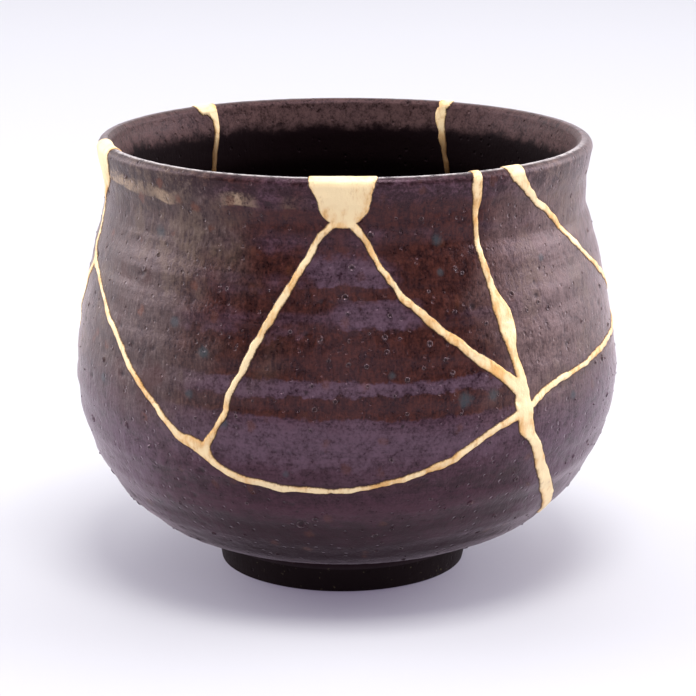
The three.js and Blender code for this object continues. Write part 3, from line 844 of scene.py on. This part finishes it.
sectionTree, depths = sectionSearch()
for name, part in pieces.items():
    tellInside(part.data, sectionTree, depths)
    part.name = part.data.name = "fired_" + name if name in shards else "gilt_" + name.replace("gold_", "")
    part.data.materials.clear()
    if name in shards:
        glazeFaces(part.data)
    else:
        part.data.materials.append(gold)
    smoothShade(part.data)
for field in scattered.values():
    keepWithin(field.data, bowl["bellyRadius"] - 0.06)
    field.data.materials.clear()
    field.data.materials.append(glaze)
    smoothShade(field.data, 60)


# Shader helpers

def newMaterial(material):
    material.use_nodes = True
    return material.node_tree, material.node_tree.nodes["Principled BSDF"]


def layer(tree, scales, detail=3.0, rough=0.55):
    # noise in the object's own space, with a scale for each axis
    place = add(tree, "ShaderNodeTexCoord").outputs["Object"]
    place = vectorMath(tree, "MULTIPLY", place, scales)
    return add(tree, "ShaderNodeTexNoise",
               {"Vector": place, "Scale": 1.0, "Detail": detail, "Roughness": rough}).outputs[0]


def meshMask(tree, label):
    return add(tree, "ShaderNodeAttribute", attribute_name=label).outputs["Fac"]


def between(tree, value, low, high):
    # 0 below low, 1 above high, smooth between; low may be the larger
    return add(tree, "ShaderNodeMapRange", {"Value": value, "From Min": low, "From Max": high},
               interpolation_type="SMOOTHSTEP").outputs[0]


def blend(tree, share, under, over):
    return add(tree, "ShaderNodeMix", {0: share, 6: under, 7: over}, data_type="RGBA").outputs[2]


def product(tree, first, *others):
    for other in others:
        first = mathNode(tree, "MULTIPLY", first, other)
    return first


def addShares(tree, total, *pairs):
    # a value plus each further value times its share
    for value, share in pairs:
        total = mathNode(tree, "ADD", total, mathNode(tree, "MULTIPLY", value, share))
    return total


def aboutZero(tree, value):
    return mathNode(tree, "SUBTRACT", value, 0.5)


looks = {  # linear colours of the glaze
    "maroonDark": (0.012, 0.0036, 0.0032), "maroon": (0.065, 0.0185, 0.0115),
    "purpleDark": (0.020, 0.0080, 0.0125), "purple": (0.090, 0.046, 0.065),
    # this colour is a painted sheen, laid on the purple bands
    "violetSheen": (0.150, 0.102, 0.142),
    "aubergine": (0.0140, 0.0036, 0.0058), "aubergineLight": (0.052, 0.0175, 0.0285),
    "underside": (0.0060, 0.0008, 0.0008),
    "greyDark": (0.012, 0.0066, 0.0052), "grey": (0.070, 0.047, 0.040), "greyLight": (0.205, 0.158, 0.142),
    "mauveDark": (0.026, 0.0110, 0.0095), "mauve": (0.176, 0.117, 0.108),
    "olive": (0.128, 0.092, 0.060), "umber": (0.060, 0.0230, 0.0150), "drip": (0.450, 0.325, 0.205),
    "rust": (0.150, 0.050, 0.022), "teal": (0.042, 0.080, 0.092),
    # the near-black inside colour is painted shade deep in the bowl
    "foot": (0.0130, 0.0085, 0.0085), "footSpeck": (0.075, 0.062, 0.034), "inside": (0.0022, 0.0005, 0.0005),
    # the pale lip colour is a painted highlight, and the pale blister colour is partly a painted glint
    "insideRim": (0.100, 0.057, 0.056), "crust": (0.092, 0.068, 0.070), "lipHighlight": (0.62, 0.58, 0.56),
}
glazeNoise = {  # scales along x, y and z, detail, roughness
    "cloud": ((38, 38, 38),), "bands": ((8, 8, 125), 2.0), "patch": ((150, 150, 190),),
    "mottle": ((430, 430, 430), 4.0, 0.66), "speck": ((1650, 1650, 1650), 2.0, 0.7),
    "lines": ((120, 120, 1500), 2.0, 0.6), "fur": ((1500, 1500, 300), 4.0, 0.66), "weather": ((75, 75, 60),),
    "drip": ((70, 70, 16), 2.0), "footSpeck": ((900, 900, 900), 2.0),
}
glazeZones = {  # where each zone starts and is full, in shares of the height or radians from the front
    "purple": (0.78, 0.42), "aubergine": (0.44, 0.30), "underside": (0.30, 0.13),
    "greyLeft": (-0.34, -0.66), "greyBack": (-2.9, -2.3), "greyUp": (0.38, 0.58),
    "mauveRight": (0.42, 0.84), "mauveBack": (2.7, 2.1), "mauveUp": (0.44, 0.6),
    "dripUp": (0.926, 0.931), "dripDown": (0.962, 0.950),
    "dripLeft": (-0.25, -0.85), "dripBack": (-2.6, -1.9),
    "collar": (0.935, 0.955), "foot": (0.067, 0.060), "insideRim": (0.918, 0.952), "crest": (0.972, 0.982),
    "dryInside": (0.965, 0.92), "dryBelow": (0.30, 0.10),
}
glazeShares = {  # how much each colour covers the ones under it
    "violetSheen": 0.42, "violetSheenBelow": 0.5, "purpleBelow": 0.62, "grey": 0.9, "mauve": 0.85, "umber": 0.55,
    "oliveOnGrey": 0.6, "oliveOnMauve": 0.5, "drip": 0.75, "collar": 0.72, "teal": 0.42, "lipHighlight": 0.7,
}
glazeSkin = {"bump": 0.9, "bumpHeight": 0.00024, "specularTint": (1.0, 0.66, 0.82),
             "sheenTint": (1.0, 0.84, 0.94), "sheenRoughness": 0.26}


glazeBandsAndSheen = [  # degrees, height, half length and half height in mm, and an amount: purple with a painted lavender sheen above 0, maroon below
    (-1, 78.6, 9, 3.4, 0.75), (2.5, 69.6, 8, 4.2, 0.7), (-4, 55.2, 44, 1.7, 0.8), (-8, 43.5, 46, 4.5, 0.9),
    (64, 36, 24, 13, 0.9), (-60, 36, 26, 17, 1.25), (0, 74.4, 17, 1.1, -1.0), (2, 61.4, 40, 4.6, -1.2),
    (6, 51.3, 38, 2.5, -1.4), (24, 77, 14, 9, -0.8),
]
tealSpots = [  # degrees, height and radius in mm
    (23.6, 52, 1.7), (30.1, 52.2, 1.4), (52.7, 47.9, 1.1), (-46.1, 83.3, 1.5), (-38, 66, 1.4),
    (-30, 61, 1.5), (-25, 47, 1.3), (20.6, 84.3, 1.2), (20.5, 78, 1), (-33, 52, 1.2), (9, 58, 0.9),
    (-12, 37, 0.9), (48, 78, 0.9), (118, 62, 1.4), (160, 48, 1.6), (205, 70, 1.3), (248, 55, 1.5),
    (-60, 50, 1),
]


def glazeGroup():
    # the look that the three glazes share, with the height of its fine surface
    tree = bpy.data.node_groups.new("firedGlaze", "ShaderNodeTree")
    tree.interface.new_socket("Base Roughness", in_out="INPUT", socket_type="NodeSocketFloat")
    for label, kind in (("Color", "Color"), ("Roughness", "Float"), ("Height", "Float")):
        tree.interface.new_socket(label, in_out="OUTPUT", socket_type="NodeSocket" + kind)
    given = tree.nodes.new("NodeGroupInput").outputs
    out = tree.nodes.new("NodeGroupOutput").inputs
    m, grow, mix, times, plus, swing = (
        partial(helper, tree) for helper in (mathNode, between, blend, product, addShares, aboutZero))
    c = {name: (*value, 1) for name, value in looks.items()}
    cloud, bands, patch, mottle, speck, lines, fur, weather, dripNoise, footNoise = (
        layer(tree, *facts) for facts in glazeNoise.values())
    inside, ridge, crust = (meshMask(tree, label) for label in ("inside", "ridge", "crust"))
    zone, cover = glazeZones, glazeShares
    place = add(tree, "ShaderNodeTexCoord").outputs["Object"]
    xyz = add(tree, "ShaderNodeSeparateXYZ", {0: place}).outputs
    turn = m("ARCTAN2", xyz[0], m("MULTIPLY", xyz[1], -1))
    share = m("DIVIDE", xyz[2], bowl["height"] * mm)
    cloud = swing(cloud)
    softShare, softTurn = plus(share, (cloud, 0.22)), plus(turn, (cloud, 0.9))
    tone = plus(times(mottle, 0.55), (speck, 0.45))

    # maroon with purple on the throwing ridges, the purple partly a painted highlight on the ridge tops,
    # turning aubergine below and brown at the foot
    maroon = mix(grow(plus(times(tone, 0.7), (fur, 0.3)), 0.38, 0.64), c["maroonDark"], c["maroon"])
    lined = plus(times(tone, 0.78), (lines, 0.22))
    purple = mix(grow(lined, 0.38, 0.63), c["purpleDark"], c["purple"])
    ring = plus(times(ridge, 0.7), (swing(bands), 2.6), (swing(patch), 1.4))
    shine = 0.0
    for degrees, level, long, tall, amount in glazeBandsAndSheen:
        beside = m("DIVIDE", m("SUBTRACT", softTurn, math.radians(degrees)), long / bowl["bellyRadius"])
        above = m("DIVIDE", m("SUBTRACT", share, level / bowl["height"]), tall / bowl["height"])
        above = plus(above, (m("SUBTRACT", m("ADD", patch, mottle), 1.0), 1.3))
        here = grow(m("ADD", times(beside, beside), times(above, above)), 1.9, 0.1)
        ring = plus(ring, (here, amount))
        if amount > 0:
            shine = m("MAXIMUM", shine, times(here, amount))
    # painted sheen: lavender laid over the purple bands, standing in for soft reflections on the glaze
    sheen = times(shine, grow(tone, 0.30, 0.60))
    purple = mix(times(sheen, cover["violetSheen"]), purple, c["violetSheen"])
    lowness = times(grow(softShare, *zone["purple"]), cover["purpleBelow"])
    colour = mix(grow(m("ADD", ring, lowness), -0.2, 0.55), maroon, purple)
    low = mix(grow(plus(lined, (ring, 0.14)), 0.38, 0.66), c["aubergine"], c["aubergineLight"])
    low = mix(times(sheen, cover["violetSheenBelow"]), low, c["violetSheen"])
    colour = mix(grow(softShare, *zone["aubergine"]), colour, low)
    colour = mix(grow(softShare, *zone["underside"]), colour, c["underside"])

    # grey ash with upright streaks on the left shoulder, mauve on the right
    left = times(grow(softTurn, *zone["greyLeft"]), grow(softTurn, *zone["greyBack"]),
                 grow(softShare, *zone["greyUp"]))
    furry = plus(times(fur, 0.36), (plus(patch, (mottle, 1.5)), 0.18), (speck, 0.19))
    grey = mix(grow(furry, 0.37, 0.52), c["greyDark"], c["grey"])
    grey = mix(grow(furry, 0.50, 0.68), grey, c["greyLight"])
    weather = plus(times(weather, 0.8), (furry, 0.2))
    tufts = grow(furry, 0.40, 0.56)
    grey = mix(times(grow(weather, 0.53, 0.60), times(tufts, cover["oliveOnGrey"])), grey, c["olive"])
    grey = mix(times(grow(weather, 0.46, 0.39), cover["umber"]), grey, c["umber"])
    colour = mix(times(left, cover["grey"]), colour, grey)
    right = times(grow(softTurn, *zone["mauveRight"]), grow(softTurn, *zone["mauveBack"]),
                  grow(softShare, *zone["mauveUp"]))
    mauve = mix(grow(plus(times(fur, 0.3), (tone, 0.7)), 0.32, 0.64), c["mauveDark"], c["mauve"])
    mauve = mix(times(grow(weather, 0.52, 0.60), times(tufts, cover["oliveOnMauve"])), mauve, c["olive"])
    colour = mix(times(right, cover["mauve"]), colour, mauve)

    # the ash drip under the rim, and a darker band between it and the lip
    dripNoise = swing(dripNoise)
    tongue = grow(m("ABSOLUTE", m("ADD", turn, 0.76)), 0.09, 0.0)
    dripPlace = plus(share, (dripNoise, 0.03), (tongue, 0.013))
    drip = times(grow(dripPlace, *zone["dripUp"]), grow(dripPlace, *zone["dripDown"]),
                 grow(plus(turn, (dripNoise, 2.4)), *zone["dripLeft"]), grow(turn, *zone["dripBack"]),
                 grow(tone, 0.30, 0.56))
    colour = mix(times(drip, cover["drip"]), colour, c["drip"])
    collar = times(grow(plus(share, (cloud, 0.05)), *zone["collar"]), grow(tone, 0.64, 0.42))
    colour = mix(times(collar, cover["collar"]), colour, c["maroonDark"])

    # rust and teal specks; the blisters' pale edges and grit tops are partly a painted glint, and the dark
    # holes and pit insides are painted shade
    cells = add(tree, "ShaderNodeTexVoronoi",
                {"Vector": vectorMath(tree, "MULTIPLY", place, (260, 260, 200)), "Scale": 1.0}).outputs
    pick = add(tree, "ShaderNodeSeparateXYZ", {0: cells["Color"]}).outputs
    dot = times(grow(plus(cells["Distance"], (swing(mottle), 0.9)), 0.34, 0.10), grow(pick[0], 0.78, 0.80))
    colour = mix(times(dot, plus(0.25, (left, 0.3))), colour, c["rust"])
    ragged = times(swing(mottle), 1.6)
    blot = 0.0
    for degrees, level, radius in tealSpots:
        spot = onWall(degrees, level / bowl["height"])[0] * mm
        away = add(tree, "ShaderNodeVectorMath", {0: place, 1: spot}, operation="DISTANCE").outputs["Value"]
        here = grow(m("ADD", m("DIVIDE", away, radius * mm), ragged), 1.25, 0.35)
        blot = m("MAXIMUM", blot, here)
    colour = mix(times(blot, cover["teal"]), colour, c["teal"])
    colour = mix(times(grow(crust, 0.1, 0.9), grow(speck, 0.36, 0.60)), colour, c["crust"])
    colour = mix(grow(crust, -0.2, -0.8), colour, c["foot"])

    # bare dark foot, a painted highlight along the front of the lip crest, and the inside painted nearly
    # black as shade below a band of glaze colour under the rim
    foot = grow(share, *zone["foot"])
    bare = mix(grow(footNoise, 0.66, 0.74), c["foot"], c["footSpeck"])
    colour = mix(foot, colour, bare)
    # painted shade: a little below the rim the inside turns nearly black
    insideRim = mix(grow(tone, 0.26, 0.62), c["inside"], c["insideRim"])
    fade = plus(share, (cloud, 0.07), (swing(mottle), 0.04))
    deep = mix(grow(fade, *zone["insideRim"]), c["inside"], insideRim)
    colour = mix(grow(inside, 0.45, 0.8), colour, deep)
    # painted highlight: a pale line along the lip crest, on the front half only
    crest = times(grow(share, *zone["crest"]), grow(xyz[1], 0.0, -0.03))
    wearAndHighlight = times(grow(inside, 0.34, 0.46), grow(inside, 0.70, 0.60), crest)
    colour = mix(times(wearAndHighlight, grow(mottle, 0.34, 0.56), cover["lipHighlight"]), colour, c["lipHighlight"])
    tree.links.new(colour, out["Color"])

    ashy = m("MAXIMUM", left, right)
    dry = m("MAXIMUM", times(inside, grow(share, *zone["dryInside"])), grow(softShare, *zone["dryBelow"]))
    rough = plus(given["Base Roughness"], (m("SUBTRACT", tone, 0.4), 0.5), (ashy, 0.06),
                 (m("MAXIMUM", dry, foot), 0.34), (m("MAXIMUM", crust, wearAndHighlight), -0.2))
    tree.links.new(rough, out["Roughness"])

    pinholes = add(tree, "ShaderNodeTexVoronoi",
                   {"Vector": vectorMath(tree, "MULTIPLY", place, (620, 620, 620)), "Scale": 1.0}).outputs
    picked = add(tree, "ShaderNodeSeparateXYZ", {0: pinholes["Color"]}).outputs[0]
    holes = times(grow(pinholes["Distance"], 0.30, 0.12), grow(picked, 0.70, 0.74))
    height = plus(times(mottle, 0.6), (fur, 0.4), (lines, 0.12), (speck, 0.2), (holes, -0.9))
    tree.links.new(height, out["Height"])
    return tree


def joinBump(tree, shader, height, strength, distance):
    bump = add(tree, "ShaderNodeBump", {"Height": height, "Strength": strength, "Distance": distance})
    tree.links.new(bump.outputs[0], shader.inputs["Normal"])


def glazeMaterial(material, group, facts):
    tree, shader = newMaterial(material)
    fired = add(tree, "ShaderNodeGroup", node_tree=group)
    fired.inputs["Base Roughness"].default_value = facts["roughness"]
    tree.links.new(fired.outputs["Color"], shader.inputs["Base Color"])
    tree.links.new(fired.outputs["Roughness"], shader.inputs["Roughness"])
    shader.inputs["Specular IOR Level"].default_value = facts["gloss"]
    shader.inputs["Specular Tint"].default_value = (*glazeSkin["specularTint"], 1)
    shader.inputs["Sheen Weight"].default_value = facts["sheen"]
    shader.inputs["Sheen Roughness"].default_value = glazeSkin["sheenRoughness"]
    shader.inputs["Sheen Tint"].default_value = (*glazeSkin["sheenTint"], 1)
    joinBump(tree, shader, fired.outputs["Height"], glazeSkin["bump"], glazeSkin["bumpHeight"])


# the mid brown serves brushed streaks and painted shade at the edges, the near-black one is partly painted
# contact shade, and the dark brown one is painted shade deep inside the bowl
goldLooks = {"pale": (0.98, 0.77, 0.45), "deep": (0.78, 0.43, 0.14), "brownStreakAndShade": (0.38, 0.18, 0.055),
             "edge": (0.07, 0.028, 0.010), "sunkShade": (0.150, 0.072, 0.022)}
goldSkin = {"metallic": 0.16, "roughness": 0.34, "bump": 0.8, "bumpHeight": 0.00022}


def goldMaterial():
    tree, shader = newMaterial(gold)
    m, grow, mix, times, plus, swing = (
        partial(helper, tree) for helper in (mathNode, between, blend, product, addShares, aboutZero))
    c = {name: (*value, 1) for name, value in goldLooks.items()}
    brushed = layer(tree, (800, 800, 300), 4.0, 0.68)
    patches = layer(tree, (130, 130, 130))
    grain = layer(tree, (2600, 2600, 2600), 2.0)
    fromEdge, broad, inside = (meshMask(tree, label) for label in ("fromEdge", "broad", "inside"))
    # deeper orange in random patches and brush streaks is the lacquer's own tone; narrow lacquer is painted a
    # little deeper as well, a painted reflection of the darker glaze around it
    deepness = plus(patches, (m("SUBTRACT", 0.5, broad), 0.15), (swing(brushed), 0.5))
    colour = mix(grow(deepness, 0.42, 0.74), c["pale"], c["deep"])
    wearAndHighlight = times(grow(brushed, 0.54, 0.72), plus(0.55, (broad, -0.4)))
    colour = mix(wearAndHighlight, colour, c["brownStreakAndShade"])
    # painted contact shade: towards its edges the lacquer turns brown and then nearly black, partly the dark
    # joint with the glaze
    ragged = plus(fromEdge, (swing(grain), 0.7))
    colour = mix(times(grow(ragged, 0.66, 0.1), 0.5), colour, c["brownStreakAndShade"])
    colour = mix(times(grow(ragged, 0.32, 0.08), 0.9), colour, c["edge"])
    place = add(tree, "ShaderNodeTexCoord").outputs["Object"]
    height = add(tree, "ShaderNodeSeparateXYZ", {0: place}).outputs[2]
    # painted shade: gold deep inside the bowl turns dark
    colour = mix(times(inside, grow(height, 0.0945, 0.086), 0.92), colour, c["sunkShade"])
    tree.links.new(colour, shader.inputs["Base Color"])
    shader.inputs["Metallic"].default_value = goldSkin["metallic"]
    tree.links.new(plus(goldSkin["roughness"], (grain, 0.3)), shader.inputs["Roughness"])
    level = plus(times(brushed, 0.7), (grain, 0.3))
    joinBump(tree, shader, level, goldSkin["bump"], goldSkin["bumpHeight"])


firedGlaze = glazeGroup()
for name, facts in finishes.items():
    glazeMaterial(glazes[name], firedGlaze, facts)
goldMaterial()


# Stage, light and camera

stage = {
    "floor": (0.475, 0.487, 0.487), "floorGlow": (0.135, 0.112, 0.170), "farGlow": (0.36, 0.345, 0.39),
    "worldBright": (0.97, 0.965, 1.0), "worldDim": (0.52, 0.44, 0.85),
    "worldPower": 1.1, "worldSides": 1.1, "worldFront": 0.03,
    "cameraSpot": (0.00022, -0.550, 0.1892), "pitch": 14.32, "lens": 129.5,
    "lamps": [  # name, place, aimed at, width, depth, watts, colour
        ("top_box", (0.06, -0.28, 0.80), (0, 0, 0.05), 0.34, 0.3, 5.0, (1.0, 0.985, 0.97)),
        ("front_card", (0.0, -0.95, 0.24), (0, 0, 0.06), 0.26, 0.34, 0.9, (0.98, 0.96, 1.0)),
        ("back_box", (0.0, 0.50, 0.70), (0, 0, 0.05), 0.6, 0.3, 1.2, (1.0, 0.985, 0.98)),
        ("left_box", (-0.72, 0.14, 0.36), (0, 0, 0.05), 0.6, 0.4, 3.2, (1.0, 0.975, 0.96)),
        ("right_box", (0.72, 0.14, 0.36), (0, 0, 0.05), 0.6, 0.4, 4.0, (1.0, 0.97, 0.99)),
    ],
}


def lightTent():
    # bright all round and above, darker from the photographer's side
    world = bpy.data.worlds.new("light_tent")
    world.use_nodes = True
    tree = world.node_tree
    sky = tree.nodes.new("ShaderNodeTexCoord").outputs["Generated"]
    way = add(tree, "ShaderNodeSeparateXYZ", {0: sky}).outputs
    back = between(tree, way[1], -0.4, 0.12)
    up = between(tree, way[2], 0.55, 0.95)
    side = between(tree, mathNode(tree, "ABSOLUTE", way[0]), 0.45, 0.9)
    power = mathNode(tree, "MAXIMUM", mathNode(tree, "MAXIMUM", back, up), stage["worldFront"])
    background = tree.nodes["Background"]
    tint = blend(tree, power, (*stage["worldDim"], 1), (*stage["worldBright"], 1))
    tree.links.new(tint, background.inputs[0])
    side = mathNode(tree, "ADD", mathNode(tree, "MULTIPLY", side, stage["worldSides"]), stage["worldPower"])
    tree.links.new(mathNode(tree, "MULTIPLY", power, side), background.inputs[1])
    bpy.context.scene.world = world


def setStage():
    bpy.context.scene.view_settings.view_transform = "Standard"
    floor = addObject("sweep", meshFrom("sweep", [(-6, -6, 0), (6, -6, 0), (6, 6, 0), (-6, 6, 0)],
                                        faces=[(0, 1, 2, 3)]))
    paper = bpy.data.materials.new("pale_paper")
    tree, shader = newMaterial(paper)
    shader.inputs["Base Color"].default_value = (*stage["floor"], 1)
    shader.inputs["Roughness"].default_value = 0.9
    shader.inputs["Specular IOR Level"].default_value = 0.1
    place = add(tree, "ShaderNodeTexCoord").outputs["Object"]
    away = add(tree, "ShaderNodeSeparateXYZ", {0: place}).outputs[1]
    glow = blend(tree, between(tree, away, 0.1, 1.0), (*stage["floorGlow"], 1), (*stage["farGlow"], 1))
    tree.links.new(glow, shader.inputs["Emission Color"])
    shader.inputs["Emission Strength"].default_value = 1
    floor.data.materials.append(paper)
    lightTent()
    for name, spot, aim, width, depth, watts, colour in stage["lamps"]:
        lamp = bpy.data.lights.new(name, "AREA")
        lamp.shape = "RECTANGLE"
        lamp.size, lamp.size_y = width, depth
        lamp.energy = watts
        lamp.color = colour
        holder = addObject(name, lamp)
        holder.location = spot
        holder.rotation_euler = (Vector(aim) - Vector(spot)).to_track_quat("-Z", "Y").to_euler()
        holder.visible_camera = False
    lens = bpy.data.cameras.new("camera")
    lens.lens = stage["lens"]
    lens.sensor_width = 36
    lens.clip_start = 0.01
    camera = addObject("camera", lens)
    camera.location = stage["cameraSpot"]
    camera.rotation_euler = (math.radians(90 - stage["pitch"]), 0, 0)
    bpy.context.scene.camera = camera


setStage()
for name, part in pieces.items():
    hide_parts(name)
    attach(part, "root")
for field in scattered.values():
    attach(field, "root")
